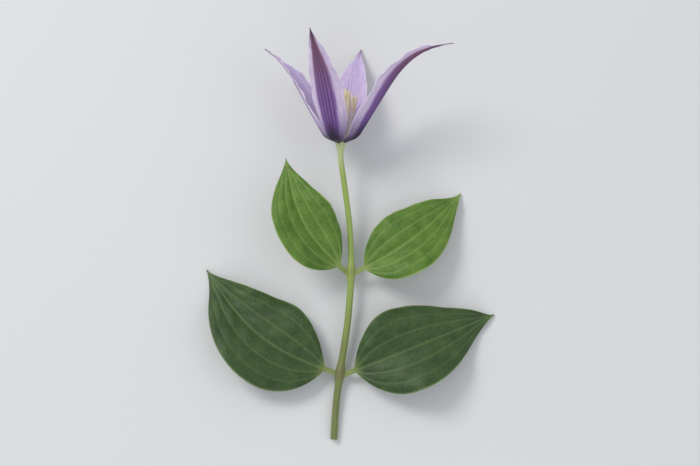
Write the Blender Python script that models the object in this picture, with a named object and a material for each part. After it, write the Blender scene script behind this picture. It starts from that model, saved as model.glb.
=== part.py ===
"""A single clematis flower on its cut stem, with two pairs of leaves, lying on a flat surface.

Metres, +Z up, the surface at z = 0. The stem runs along +Y from its cut end to the flower.
Every tepal, leaf, stamen and pistil is a closed solid of its own.
"""

import math
import random

import bpy
import numpy as np

# Middle of the whole flower's footprint, measured from the cut end of the stem.
FOOTPRINT_CENTRE = (0.0008, 0.0798)

# The gap that neighbouring pieces keep where they grow out of each other.
GROWTH_GAP = 0.0003

# Stem: centre line from the cut end, up to the receptacle that carries the flower.
STEM_ROUTE = (
    (-0.0050, 0.0000, 0.00145),
    (-0.0042, 0.0130, 0.0023),
    (-0.0026, 0.0260, 0.0034),
    (0.0004, 0.0460, 0.0050),
    (0.0018, 0.0660, 0.0068),
    (0.0012, 0.0840, 0.0086),
    (-0.0008, 0.1000, 0.0108),
    (-0.0022, 0.1100, 0.01315),
    (-0.0024, 0.1180, 0.0160),
)
STEM_RADIUS = 0.00140
PEDUNCLE_RADIUS = 0.00115
NODE_SWELLING = 0.00065
NODE_LENGTH = 0.0032
NECK_RADIUS = 0.00235
NECK_LENGTH = 0.0060
RECEPTACLE_RADIUS = 0.00340
RECEPTACLE_HEIGHT = 0.0022
STEM_SIDES = 10
STEM_RINGS = 30
DOME_RINGS = 5
LOWER_NODE_AT = 0.0260
UPPER_NODE_AT = 0.0660

# Tepals: the boat-shaped coloured leaves of the flower.
TEPAL_HALF_WIDTH = 0.0081
TEPAL_THICKNESS = 0.00085
TEPAL_MARGIN_THICKNESS = 0.00040
TEPAL_FOOT_RADIUS = RECEPTACLE_RADIUS + 0.00075
TEPAL_FOOT_BEND = 0.055
TEPAL_ROWS = 19
TEPAL_COLUMNS = 11
TEPAL_CUP_FOOT = 48.0
TEPAL_CUP_MIDDLE = 60.0
TEPAL_CUP_TIP = 38.0
MARGIN_FLARE = 0.16
RIB_PLACES = (0.0, -0.22, 0.22, -0.44, 0.44)
RIB_WIDTH = 0.075
RIB_HEIGHT = 0.00035

# name, azimuth from the upper side towards +X, flat length, lean from the flower's axis at the foot,
# along the bell and at the tip (degrees), sideways bend of the tip, twist (degrees)
TEPALS = (
    ("tepal_front", -24.0, 0.0560, 66.0, 26.0, 46.0, 0.0026, -6.0),
    ("tepal_right", 66.0, 0.0610, 66.0, 33.0, 84.0, 0.0010, -16.0),
    ("tepal_back", 155.5, 0.0430, 66.0, 30.0, 53.6, 0.0048, 4.0),
    ("tepal_left", 247.0, 0.0455, 66.0, 30.0, 54.0, 0.0010, 6.0),
)

# Stamens stand in rings around the pistils: count, foot radius, tip radius, height.
STAMEN_RINGS = (
    (7, 0.00165, 0.0027, 0.0185),
    (9, 0.00235, 0.0044, 0.0175),
    (12, 0.00300, 0.0062, 0.0160),
)
STAMEN_HALF_WIDTH = 0.00052
STAMEN_HALF_THICKNESS = 0.00020
ANTHER_HALF_WIDTH = 0.00062
ANTHER_SHARE = 0.36
STAMEN_SIDES = 6
STAMEN_STEPS = 6

# Pistils: one in the middle and a ring around it.
PISTIL_RING_RADIUS = 0.00088
PISTIL_RING_COUNT = 6
PISTIL_HEIGHT = 0.0155
PISTIL_RADIUS = 0.00027
PISTIL_SIDES = 5
PISTIL_STEPS = 5

# Leaves: blade and stalk in one piece.
LEAF_THICKNESS = 0.00055
LEAF_STALK_HALF_WIDTH = 0.00095
LEAF_STALK_THICKNESS = 0.00150
LEAF_STALK_SHARE = 0.06
MIDRIB_DEPTH = 0.00070
MIDRIB_WIDTH = 0.0011
LEAF_ROWS = 15
LEAF_COLUMNS = 9

LEAF_EDGE_WAVE = 0.13
LEAF_WAVE_LENGTH = 0.72

# name, node on the stem, length, half width, heading at foot and tip (degrees from +Y towards +X),
# height of the tip, arch of the blade above a straight line to it, roll, fold at the midrib (degrees),
# where the wave of its edge starts
LEAVES = (
    ("leaf_lower_left", LOWER_NODE_AT, 0.0680, 0.0180, -72.0, -34.0, 0.00065, 0.0052, -5.0, 13.0, 0.10),
    ("leaf_lower_right", LOWER_NODE_AT, 0.0640, 0.0175, 70.0, 66.0, 0.00065, 0.0062, 6.0, 11.0, 0.62),
    ("leaf_upper_left", UPPER_NODE_AT, 0.0520, 0.0128, -50.0, -10.0, 0.0150, 0.0085, -12.0, 18.0, 0.35),
    ("leaf_upper_right", UPPER_NODE_AT, 0.0540, 0.0135, 64.0, 42.0, 0.00065, 0.0055, 7.0, 15.0, 0.85),
)

PURPLE = (0.165, 0.070, 0.265)
CREAM = (0.560, 0.430, 0.170)
PALE_GREEN = (0.400, 0.470, 0.250)
STEM_GREEN = (0.260, 0.350, 0.110)
YOUNG_LEAF = (0.110, 0.250, 0.045)
OLD_LEAF = (0.045, 0.120, 0.035)

random.seed(11)


def clear_scene():
    for obj in list(bpy.data.objects):
        bpy.data.objects.remove(obj, do_unlink=True)


def unit(vectors):
    vectors = np.asarray(vectors, float)
    return vectors / np.linalg.norm(vectors, axis=-1, keepdims=True)


def ease(value, low, high):
    """Rises smoothly from 0 at low to 1 at high."""
    t = np.clip((value - low) / (high - low), 0.0, 1.0)
    return t * t * (3.0 - 2.0 * t)


def through(points, count):
    """Points at even steps on a smooth curve through the given ones."""
    points = np.asarray(points, float)
    padded = np.vstack([2 * points[0] - points[1], points, 2 * points[-1] - points[-2]])
    fine = []
    for i in range(1, len(padded) - 2):
        a, b, c, d = padded[i - 1 : i + 3]
        for t in np.linspace(0.0, 1.0, 40, endpoint=False):
            fine.append(
                0.5 * (2 * b + (c - a) * t + (2 * a - 5 * b + 4 * c - d) * t**2
                       + (3 * b - a - 3 * c + d) * t**3)
            )
    fine.append(points[-1])
    fine = np.array(fine)
    walked = np.concatenate([[0.0], np.cumsum(np.linalg.norm(np.diff(fine, axis=0), axis=1))])
    places = np.linspace(0.0, walked[-1], count)
    return np.column_stack([np.interp(places, walked, fine[:, k]) for k in range(3)])


def add_piece(name, points, faces, colour, roughness):
    """One closed solid with its own material, moved so that the footprint is centred."""
    placed = np.asarray(points, float) - (*FOOTPRINT_CENTRE, 0.0)
    mesh = bpy.data.meshes.new(name)
    mesh.from_pydata(placed.tolist(), [], faces)
    mesh.validate()
    mesh.shade_smooth()
    mesh.set_sharp_from_angle(angle=math.radians(50))
    obj = bpy.data.objects.new(name, mesh)
    bpy.context.scene.collection.objects.link(obj)
    material = bpy.data.materials.new(name)
    material.use_nodes = True
    shader = material.node_tree.nodes["Principled BSDF"]
    shader.inputs["Base Color"].default_value = (*colour, 1.0)
    shader.inputs["Roughness"].default_value = roughness
    shader.inputs["Metallic"].default_value = 0.0
    mesh.materials.append(material)
    return obj


def sheet_solid(upper, lower):
    """Closes two matching grids of points, one above the other, with a rim all round."""
    rows, columns = upper.shape[:2]
    points = np.vstack([upper.reshape(-1, 3), lower.reshape(-1, 3)])
    below = rows * columns
    faces = []
    for i in range(rows - 1):
        for j in range(columns - 1):
            a = i * columns + j
            b, c, d = a + 1, a + columns + 1, a + columns
            faces.append((a, b, c, d))
            faces.append((below + a, below + d, below + c, below + b))
    rim = list(range(columns))
    rim += [i * columns + columns - 1 for i in range(1, rows)]
    rim += [(rows - 1) * columns + j for j in range(columns - 2, -1, -1)]
    rim += [i * columns for i in range(rows - 2, 0, -1)]
    for a, b in zip(rim, rim[1:] + rim[:1]):
        faces.append((a, below + a, below + b, b))
    return points, faces


def sweep_solid(centres, sides, normals, half_widths, half_thicknesses, corners):
    """An oval section carried along a line and closed at both ends."""
    angles = np.arange(corners) * 2 * math.pi / corners
    rings = [
        c + np.outer(np.cos(angles), s) * w + np.outer(np.sin(angles), n) * t
        for c, s, n, w, t in zip(centres, sides, normals, half_widths, half_thicknesses)
    ]
    faces = [tuple(range(corners))]
    for i in range(len(rings) - 1):
        for j in range(corners):
            k = (j + 1) % corners
            faces.append((i * corners + j, (i + 1) * corners + j,
                          (i + 1) * corners + k, i * corners + k))
    faces.append(tuple(reversed(range((len(rings) - 1) * corners, len(rings) * corners))))
    return np.vstack(rings), faces


def grid_normals(grid):
    """Unit normals of a grid of points, towards the side from which rows x columns turn left."""
    along = np.gradient(grid, axis=0)
    across = np.gradient(grid, axis=1)
    return unit(np.cross(across, along))


def flower_frame():
    """The point where the tepals join the stem, the flower's axis, its upper side and right side."""
    line = through(STEM_ROUTE, 200)
    axis = unit(line[-1] - line[-6])
    right = unit(np.cross(axis, (0.0, 0.0, 1.0)))
    upper = np.cross(right, axis)
    return line[-1], axis, upper, right


def build_stem():
    """Stem, flower stalk and receptacle, which grew as one piece."""
    line = through(STEM_ROUTE, STEM_RINGS)
    foot, axis, upper, right = flower_frame()
    walked = np.concatenate([[0.0], np.cumsum(np.linalg.norm(np.diff(line, axis=0), axis=1))])
    left_to_go = walked[-1] - walked
    radii = STEM_RADIUS + (PEDUNCLE_RADIUS - STEM_RADIUS) * ease(line[:, 1], 0.055, 0.075)
    for place in (LOWER_NODE_AT, UPPER_NODE_AT):
        radii = radii + NODE_SWELLING * np.exp(-(((line[:, 1] - place) / NODE_LENGTH) ** 2))
    radii = radii + (NECK_RADIUS - PEDUNCLE_RADIUS) * (1.0 - ease(left_to_go, 0.0, NECK_LENGTH))
    dome = np.linspace(0.25, 1.0, DOME_RINGS)
    dome_heights = RECEPTACLE_HEIGHT * (0.15 + 0.85 * np.sin(dome * math.pi / 2) ** 2)
    dome_radii = RECEPTACLE_RADIUS * np.cos(dome * math.pi / 2 * 0.93) ** 0.55
    centres = np.vstack([line, foot + np.outer(dome_heights, axis)])
    all_radii = np.concatenate([radii, dome_radii])
    tangents = unit(np.gradient(centres, axis=0))
    sides = unit(np.cross(tangents, (0.0, 0.0, 1.0)))
    normals = np.cross(sides, tangents)
    points, faces = sweep_solid(centres, sides, normals, all_radii, all_radii, STEM_SIDES)
    add_piece("stem", points, faces, STEM_GREEN, 0.55)


def tepal_half_width(s):
    """Lance shape: broad foot, widest before the middle, drawn out to a long point."""
    foot, rise, taper = 0.15, 1.2, 1.45
    widest = (rise - taper * foot) / (rise + taper)
    shape = ((s + foot) / (widest + foot)) ** rise * ((1 - s) / (1 - widest)) ** taper
    return TEPAL_HALF_WIDTH * shape + 0.00022


def tepal_spine(length, foot_lean, opening, tip_lean, steps=400):
    """Radius and height of the middle line at even steps along it, with its lean from the axis."""
    s = np.linspace(0.0, 1.0, steps)
    lean = foot_lean + (opening - foot_lean) * ease(s, 0.0, TEPAL_FOOT_BEND * 1.6)
    lean = lean + (tip_lean - opening) * ease(s, 0.42, 1.05)
    lean = np.radians(lean)
    step = length / (steps - 1)
    radius = TEPAL_FOOT_RADIUS + np.concatenate([[0.0], np.cumsum(np.sin(lean[:-1]) * step)])
    height = np.concatenate([[0.0], np.cumsum(np.cos(lean[:-1]) * step)])
    return s, radius, height, lean


def build_tepal(name, azimuth, length, foot_lean, opening, tip_lean, bend, twist):
    """A boat-shaped tepal: hollow inside, ribbed along the middle of its outside."""
    foot, axis, upper, right = flower_frame()
    turn = math.radians(azimuth)
    outward = math.cos(turn) * upper + math.sin(turn) * right
    sideways = math.cos(turn) * right - math.sin(turn) * upper
    rows = np.linspace(0.0, 1.0, TEPAL_ROWS) ** 1.12
    fine, radius, height, lean = tepal_spine(length, foot_lean, opening, tip_lean)
    radius, height, lean = (np.interp(rows, fine, v) for v in (radius, height, lean))
    columns = np.linspace(-1.0, 1.0, TEPAL_COLUMNS)
    middle = np.zeros((TEPAL_ROWS, TEPAL_COLUMNS, 3))
    for i, s in enumerate(rows):
        along = math.cos(lean[i]) * axis + math.sin(lean[i]) * outward
        inward = math.sin(lean[i]) * axis - math.cos(lean[i]) * outward
        roll = math.radians(twist) * ease(s, 0.25, 1.0)
        across = math.cos(roll) * sideways + math.sin(roll) * inward
        hollow = math.cos(roll) * inward - math.sin(roll) * sideways
        half_width = tepal_half_width(s)
        cup = TEPAL_CUP_FOOT + (TEPAL_CUP_MIDDLE - TEPAL_CUP_FOOT) * ease(s, 0.05, 0.3)
        cup = math.radians(cup + (TEPAL_CUP_TIP - TEPAL_CUP_MIDDLE) * ease(s, 0.45, 1.0))
        spine = foot + height[i] * axis + radius[i] * outward + bend * s**2 * sideways
        for j, u in enumerate(columns):
            x = half_width * math.sin(u * cup) / cup
            rise = half_width * (1 - math.cos(u * cup)) / cup
            flare = MARGIN_FLARE * half_width * max(0.0, abs(u) - 0.55) * ease(s, 0.1, 0.4)
            middle[i, j] = spine + x * across + (rise - flare) * hollow
    thickness = TEPAL_MARGIN_THICKNESS + (TEPAL_THICKNESS - TEPAL_MARGIN_THICKNESS) * (
        1 - np.abs(columns) ** 1.5
    )
    ribs = sum(np.exp(-(((columns - place) / RIB_WIDTH) ** 2)) for place in RIB_PLACES)
    fade = (1.0 - 0.85 * ease(rows, 0.6, 1.0))[:, None]
    outwards = grid_normals(middle)
    inner = middle - outwards * (thickness * 0.5 * fade)[..., None]
    outer = middle + outwards * ((thickness * 0.5 + ribs * RIB_HEIGHT) * fade)[..., None]
    points, faces = sheet_solid(outer, inner)
    add_piece(name, points, faces, PURPLE, 0.6)


def build_stamens():
    """Rings of flat stamens, each a filament with its long anther, leaning out from the middle."""
    foot, axis, upper, right = flower_frame()
    steps = np.linspace(0.0, 1.0, STAMEN_STEPS)
    number = 0
    for ring, (count, foot_radius, tip_radius, height) in enumerate(STAMEN_RINGS):
        for k in range(count):
            number += 1
            turn = 2 * math.pi * (k + 0.5 * (ring % 2)) / count + random.uniform(-0.05, 0.05)
            outward = math.cos(turn) * upper + math.sin(turn) * right
            sideways = math.cos(turn) * right - math.sin(turn) * upper
            reach = height * random.uniform(0.94, 1.05)
            start = receptacle_height(foot_radius) + GROWTH_GAP
            radii = foot_radius + (tip_radius - foot_radius) * np.sin(steps * math.pi / 2) ** 1.3
            heights = start + reach * steps
            centres = foot + np.outer(heights, axis) + np.outer(radii, outward)
            anther = ease(steps, 1 - ANTHER_SHARE - 0.12, 1 - ANTHER_SHARE + 0.05)
            widths = STAMEN_HALF_WIDTH + (ANTHER_HALF_WIDTH - STAMEN_HALF_WIDTH) * anther
            widths = widths * (1 - 0.7 * ease(steps, 0.86, 1.0))
            thicknesses = STAMEN_HALF_THICKNESS * (1 + 0.6 * anther) * np.ones_like(steps)
            tangents = unit(np.gradient(centres, axis=0))
            sides = np.tile(sideways, (STAMEN_STEPS, 1))
            normals = np.cross(sides, tangents)
            points, faces = sweep_solid(centres, sides, normals, widths, thicknesses, STAMEN_SIDES)
            add_piece(f"stamen_{number:02d}", points, faces, CREAM, 0.75)


def receptacle_height(radius):
    """Height of the receptacle's dome above the foot of the flower, at this distance from its axis."""
    share = min(radius / RECEPTACLE_RADIUS, 1.0)
    return RECEPTACLE_HEIGHT * (1.0 - 0.35 * share**3)


def build_pistils():
    """The slim pistils in the middle of the stamens."""
    foot, axis, upper, right = flower_frame()
    steps = np.linspace(0.0, 1.0, PISTIL_STEPS)
    places = [(0.0, 0.0)]
    places += [(2 * math.pi * k / PISTIL_RING_COUNT, PISTIL_RING_RADIUS) for k in range(PISTIL_RING_COUNT)]
    for number, (turn, radius) in enumerate(places, start=1):
        outward = math.cos(turn) * upper + math.sin(turn) * right
        sideways = math.cos(turn) * right - math.sin(turn) * upper
        reach = PISTIL_HEIGHT * random.uniform(0.94, 1.04)
        heights = receptacle_height(radius) + GROWTH_GAP + reach * steps
        radii = radius * (1.0 + 0.9 * steps**2)
        centres = foot + np.outer(heights, axis) + np.outer(radii, outward)
        thickness = PISTIL_RADIUS * (1.25 - 0.7 * steps)
        tangents = unit(np.gradient(centres, axis=0))
        sides = np.tile(sideways, (PISTIL_STEPS, 1))
        normals = np.cross(sides, tangents)
        points, faces = sweep_solid(centres, sides, normals, thickness, thickness, PISTIL_SIDES)
        add_piece(f"pistil_{number}", points, faces, PALE_GREEN, 0.7)


def leaf_half_width(t, half_width):
    """Egg-shaped outline, wedge-shaped at the foot and drawn out at the tip, t along the blade."""
    rise, taper = 0.82, 1.36
    widest = rise / (rise + taper)
    t = np.clip(t, 0.0, 1.0)
    return half_width * (t / widest) ** rise * ((1 - t) / (1 - widest)) ** taper


def build_leaf(name, node_at, length, half_width, heading_foot, heading_tip,
               tip_height, arch, roll, fold, wave_start):
    """An opposite leaf: short stalk and egg-shaped blade, folded a little along its midrib."""
    line = through(STEM_ROUTE, 400)
    near = np.argmin(np.abs(line[:, 1] - node_at))
    along_stem = unit(line[near + 1] - line[near - 1])
    outward = unit(np.cross(along_stem, (0.0, 0.0, 1.0))) * math.copysign(1.0, heading_foot)
    start = line[near] + outward * (STEM_RADIUS + NODE_SWELLING + GROWTH_GAP)
    rows = np.linspace(0.0, 1.0, LEAF_ROWS)
    heading = np.radians(heading_foot + (heading_tip - heading_foot) * ease(rows, 0.0, 0.9))
    step = length / (LEAF_ROWS - 1)
    spine = np.zeros((LEAF_ROWS, 3))
    spine[1:, 0] = np.cumsum(np.sin(heading[:-1]) * step)
    spine[1:, 1] = np.cumsum(np.cos(heading[:-1]) * step)
    spine[:, 2] = (tip_height - start[2]) * rows**1.5 + arch * np.sin(math.pi * rows**0.85)
    spine = spine + start
    tangents = unit(np.gradient(spine, axis=0))
    level = unit(np.cross(tangents, (0.0, 0.0, 1.0)))
    raised = np.cross(level, tangents)
    tilt = np.radians(roll) * np.sin(math.pi * rows)[:, None]
    across = np.cos(tilt) * level + np.sin(tilt) * raised
    normal = np.cos(tilt) * raised - np.sin(tilt) * level
    blade = leaf_half_width((rows - LEAF_STALK_SHARE) / (1 - LEAF_STALK_SHARE), half_width)
    stalk = LEAF_STALK_HALF_WIDTH * (1.0 - 0.75 * ease(rows, 0.3, 1.0))
    widths = np.sqrt(stalk**2 + blade**2)
    columns = np.linspace(-1.0, 1.0, LEAF_COLUMNS)
    x = widths[:, None] * columns
    keel = np.tan(math.radians(fold)) * (np.sqrt(x**2 + MIDRIB_WIDTH**2) - MIDRIB_WIDTH)
    keel = keel * (1.0 - 0.55 * columns**2)
    turns = rows[:, None] / LEAF_WAVE_LENGTH + wave_start + np.where(columns > 0, 0.0, 0.35)
    wave = LEAF_EDGE_WAVE * half_width * columns**2 * np.sin(2 * math.pi * turns)
    lift = keel + wave * (ease(rows, 0.08, 0.35) * (1.0 - ease(rows, 0.85, 1.0)))[:, None]
    upper = spine[:, None] + x[..., None] * across[:, None] + lift[..., None] * normal[:, None]
    stalkness = (1.0 - ease(rows, LEAF_STALK_SHARE * 0.6, LEAF_STALK_SHARE * 3.0))[:, None]
    depth = LEAF_THICKNESS + (LEAF_STALK_THICKNESS - LEAF_THICKNESS) * stalkness
    depth = depth + MIDRIB_DEPTH * (1 - rows[:, None]) * np.exp(-((x / MIDRIB_WIDTH) ** 2))
    lower = upper - depth[..., None] * grid_normals(upper)
    points, faces = sheet_solid(upper, lower)
    colour = YOUNG_LEAF if node_at == UPPER_NODE_AT else OLD_LEAF
    add_piece(name, points, faces, colour, 0.45)


clear_scene()
build_stem()
for tepal in TEPALS:
    build_tepal(*tepal)
build_stamens()
build_pistils()
for leaf in LEAVES:
    build_leaf(*leaf)
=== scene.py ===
"""Looks of one cut clematis lying on a pale surface, seen from above.

Every piece of the flower is remade here as a fine mesh in the place of its plain solid:
the stem, four tepals, the stamens and pistils inside them, and four leaves.
Metres, +Z up, the surface at z = 0, the stem along +Y from its cut end to the flower.
"""

import math
import random

import bpy
import numpy as np
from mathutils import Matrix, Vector


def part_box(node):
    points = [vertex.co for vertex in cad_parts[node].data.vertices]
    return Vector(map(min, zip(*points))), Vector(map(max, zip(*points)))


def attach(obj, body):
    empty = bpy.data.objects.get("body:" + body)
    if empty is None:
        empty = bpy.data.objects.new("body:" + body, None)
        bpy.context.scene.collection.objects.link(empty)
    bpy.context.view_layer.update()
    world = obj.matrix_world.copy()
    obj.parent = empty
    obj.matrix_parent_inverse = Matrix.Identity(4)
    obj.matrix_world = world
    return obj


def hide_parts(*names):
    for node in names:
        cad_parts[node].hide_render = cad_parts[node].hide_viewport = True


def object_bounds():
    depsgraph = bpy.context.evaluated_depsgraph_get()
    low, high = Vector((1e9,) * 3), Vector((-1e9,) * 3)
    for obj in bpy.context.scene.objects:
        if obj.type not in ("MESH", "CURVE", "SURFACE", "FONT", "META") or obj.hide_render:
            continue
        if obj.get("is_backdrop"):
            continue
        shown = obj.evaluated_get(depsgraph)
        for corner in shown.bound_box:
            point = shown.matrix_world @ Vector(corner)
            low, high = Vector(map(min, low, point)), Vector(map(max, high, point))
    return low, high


MM = 0.001
CAMERA_ELEVATION = 80.0
CAMERA_DISTANCE = 0.65
CAMERA_TARGET_HEIGHT = 0.018
CAMERA_LENS = 85.0
WORLD_STRENGTH = 0.78
FLOOR_HALF_WIDTH = 3.0

# name, place, width and height, watts, colour
SOFTBOXES = (
    ("key_softbox", (-0.70, 0.60, 1.00), (0.50, 0.50), 8.5, "#FFFDF8"),
    ("fill_softbox", (0.95, -0.35, 0.85), (0.9, 0.9), 1.4, "#F4F7FF"),
    ("low_softbox", (0.1, -1.1, 0.55), (0.8, 0.5), 1.6, "#FFFFFF"),
)

# How far the rounded rim of a sheet stands out, as a share of its thickness.
RIM_ROUNDING = 0.45
# Steps in which a curved middle line is added up.
FINE_STEPS = 400

# ---------------------------------------------------------------- the plant's plan

# Centre line of the stem, from the cut end to the receptacle that carries the flower.
STEM_ROUTE = (
    (-0.0050, 0.0000, 0.00145),
    (-0.0042, 0.0130, 0.0023),
    (-0.0026, 0.0260, 0.0034),
    (0.0004, 0.0460, 0.0050),
    (0.0018, 0.0660, 0.0068),
    (0.0012, 0.0840, 0.0086),
    (-0.0008, 0.1000, 0.0108),
    (-0.0022, 0.1100, 0.01315),
    (-0.0024, 0.1180, 0.0160),
)
STEM_RADIUS = 0.00140
PEDUNCLE_RADIUS = 0.00115
PEDUNCLE_FROM, PEDUNCLE_TO = 0.055, 0.075
NODE_SWELLING = 0.00065
NODE_LENGTH = 0.0032
NECK_RADIUS = 0.00235
NECK_LENGTH = 0.0060
RECEPTACLE_RADIUS = 0.00340
RECEPTACLE_HEIGHT = 0.0022
RECEPTACLE_FALL = 0.35
DOME_RINGS = 16
DOME_START = 0.08
DOME_FOOT, DOME_RISE = 0.15, 0.85
DOME_CLOSING, DOME_FULLNESS = 0.97, 0.55
LOWER_NODE_AT = 0.0260
UPPER_NODE_AT = 0.0660
STEM_RIDGES = 8
STEM_RIDGE_DEPTH = 0.055
STEM_RIDGE_SHARPNESS = 0.7
STEM_RIDGE_WINDING = 0.9
NODE_TINT_SHARE = 0.6
# Rings of the cut end: their share of the radius, and how deep each lies in the hollow pith.
CUT_SHARES = np.array([0.02, 0.30, 0.46, 0.54, 0.80, 0.93])
CUT_DEPTHS = np.array([0.22, 0.20, 0.12, 0.02, 0.00, 0.01]) * MM
STEM_RINGS = 330
STEM_CORNERS = 48

TEPAL_HALF_WIDTH = 0.0081
TEPAL_MIDDLE_THICKNESS = 0.00066
TEPAL_EDGE_THICKNESS = 0.00024
TEPAL_TIP_HALF_WIDTH = 0.00016
TEPAL_TIP_THINNING = 0.55
TEPAL_RECURVE = (0.42, 1.05)
TIP_ROLL = (14, 22)
TIP_STRAY = 0.0012
TEPAL_FOOT_RADIUS = RECEPTACLE_RADIUS + 0.00075
TEPAL_FOOT_BEND = 0.088
TEPAL_ROOT = 0.0025
TEPAL_ROOT_NARROWING = 0.55
TEPAL_CUP_FOOT = 48.0
TEPAL_CUP_MIDDLE = 60.0
TEPAL_CUP_TIP = 38.0
TEPAL_ROWS = 150
TEPAL_ROOT_ROWS = 6
TEPAL_COLUMNS = 73
RIB_PLACES = (0.0, -0.16, 0.16, -0.33, 0.33)
RIB_STRENGTHS = (1.0, 1.0, 1.0, 0.8, 0.8)
RIB_WIDTH = 0.046
RIB_HEIGHT = 0.00036
RIB_GROOVE_SHARE = 0.45
MARGIN_FLARE = 0.55
MARGIN_FLARE_START = 0.52
MARGIN_WAVE = 0.00042
MARGIN_WAVES = (2.6, 3.4)
MARGIN_CRIMP = 0.00008
MARGIN_CRIMPS = 7.1

# name, azimuth from the upper side towards +X, flat length, lean from the flower's axis at the
# foot, along the bell and at the tip (degrees), sideways bend of the tip, twist (degrees)
TEPALS = (
    ("tepal_front", -24.0, 0.0560, 66.0, 26.0, 46.0, 0.0026, -6.0),
    ("tepal_right", 66.0, 0.0610, 66.0, 33.0, 84.0, 0.0010, -16.0),
    ("tepal_back", 155.5, 0.0430, 66.0, 30.0, 53.6, 0.0048, 4.0),
    ("tepal_left", 247.0, 0.0455, 66.0, 30.0, 54.0, 0.0010, 6.0),
)

# Stamens stand in rings around the pistils: count, foot radius, tip radius, height.
STAMEN_RINGS = (
    (7, 0.00165, 0.0027, 0.0185),
    (9, 0.00235, 0.0044, 0.0175),
    (12, 0.00300, 0.0062, 0.0160),
)
STAMEN_HALF_WIDTH = 0.00052
STAMEN_HALF_THICKNESS = 0.00020
ANTHER_HALF_WIDTH = 0.00066
ANTHER_SHARE = 0.36
ANTHER_GROOVE = 0.55
STAMEN_ROOT = 0.0009
STAMEN_STRAY = 0.05
STAMEN_REACH = (0.94, 1.05)
STAMEN_SWAY = 0.0006
STAMEN_CURL = (-0.0004, 0.0008)
STAMEN_ROLL = 25
STAMEN_STEPS = 34
STAMEN_CORNERS = 16

PISTIL_RING_RADIUS = 0.00088
PISTIL_RING_COUNT = 6
PISTIL_HEIGHT = 0.0155
PISTIL_REACH = (0.94, 1.04)
PISTIL_SPLAY = 0.9
PISTIL_RADIUS = 0.00027
PISTIL_SWELLING = 0.25
PISTIL_SWAY = 0.00018
PISTIL_ROOT = 0.0003
PISTIL_STEPS = 30
PISTIL_CORNERS = 10

LEAF_THICKNESS = 0.00042
LEAF_STALK_HALF_WIDTH = 0.00095
LEAF_STALK_THICKNESS = 0.00150
LEAF_STALK_SHARE = 0.06
LEAF_STALK_LIFT = 0.0009
LEAF_STALK_GAP = 0.3 * MM
LEAF_ROOT = 1.6 * MM
MIDRIB_DEPTH = 0.00070
MIDRIB_WIDTH = 0.0011
LEAF_ROWS = 150
LEAF_COLUMNS = 85
VEIN_PLACES = (0.0, -0.36, 0.36, -0.70, 0.70)
VEIN_STRENGTHS = (1.0, 0.75, 0.75, 0.5, 0.5)
VEIN_LINE, VEIN_LINE_FOOT = 0.34 * MM, 0.22 * MM
VEIN_RIDGE = 0.22 * MM
VEIN_GROOVE = 0.14 * MM
PUCKER_HEIGHT = 0.00042
PUCKER_HOLLOW = 0.11
RIPPLE_HEIGHT = 0.16 * MM
RIPPLES, RIPPLE_SLANT = 7.5, 1.3
LEAF_EDGE_WAVE = 0.13
LEAF_WAVE_LENGTH = 0.72
LEAF_SIDES_APART = 0.35
LEAF_FRILL = 0.030
LEAF_FRILLS = (3.0, 3.8)
LEAF_LOWEST_FACE, LEAF_LOWEST_BACK = 0.30 * MM, 0.05 * MM

# name, node on the stem, length, half width, heading at foot and tip (degrees from +Y towards +X),
# then height of the tip, arch of the blade above a straight line to it, roll, fold at the midrib
# (degrees), and where the wave of its edge starts
LEAVES = (
    ("leaf_lower_left", LOWER_NODE_AT, 0.0680, 0.0180, -72.0, -34.0,
     0.00065, 0.0052, -5.0, 13.0, 0.10),
    ("leaf_lower_right", LOWER_NODE_AT, 0.0640, 0.0175, 70.0, 66.0,
     0.00065, 0.0062, 6.0, 11.0, 0.62),
    ("leaf_upper_left", UPPER_NODE_AT, 0.0520, 0.0128, -50.0, -10.0,
     0.0150, 0.0085, -12.0, 18.0, 0.35),
    ("leaf_upper_right", UPPER_NODE_AT, 0.0540, 0.0135, 64.0, 42.0,
     0.00065, 0.0055, 7.0, 15.0, 0.85),
)

random.seed(11)
details = random.Random(5)


# ---------------------------------------------------------------- shapes

def unit(vectors):
    """The same directions, each with length 1."""
    vectors = np.asarray(vectors, float)
    return vectors / np.linalg.norm(vectors, axis=-1, keepdims=True)


def ease(value, low, high):
    """Rises smoothly from 0 at low to 1 at high."""
    t = np.clip((value - low) / (high - low), 0.0, 1.0)
    return t * t * (3.0 - 2.0 * t)


def walked_along(line):
    """Distance walked to each point of a line."""
    return np.concatenate([[0.0], np.cumsum(np.linalg.norm(np.diff(line, axis=0), axis=1))])


def through(points, count):
    """Points at even steps on a smooth curve through the given ones."""
    points = np.asarray(points, float)
    padded = np.vstack([2 * points[0] - points[1], points, 2 * points[-1] - points[-2]])
    fine = []
    for i in range(1, len(padded) - 2):
        a, b, c, d = padded[i - 1 : i + 3]
        for t in np.linspace(0.0, 1.0, 40, endpoint=False):
            fine.append(
                0.5 * (2 * b + (c - a) * t + (2 * a - 5 * b + 4 * c - d) * t**2
                       + (3 * b - a - 3 * c + d) * t**3)
            )
    fine.append(points[-1])
    fine = np.array(fine)
    walked = walked_along(fine)
    places = np.linspace(0.0, walked[-1], count)
    return np.column_stack([np.interp(places, walked, fine[:, k]) for k in range(3)])


def flower_frame():
    """Where the tepals join the stem, the flower's axis, its upper side and its right side."""
    line = through(STEM_ROUTE, 200)
    axis = unit(line[-1] - line[-6])
    right = unit(np.cross(axis, (0.0, 0.0, 1.0)))
    upper = np.cross(right, axis)
    return line[-1], axis, upper, right


def directions_at(turn):
    """Outward and sideways directions at this turn around the flower's axis."""
    upper, right = flower_frame()[2:]
    return (math.cos(turn) * upper + math.sin(turn) * right,
            math.cos(turn) * right - math.sin(turn) * upper)


def grid_normals(grid):
    """Unit normals of a grid of points."""
    along = np.gradient(grid, axis=0)
    across = np.gradient(grid, axis=1)
    return unit(np.cross(across, along))


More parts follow.
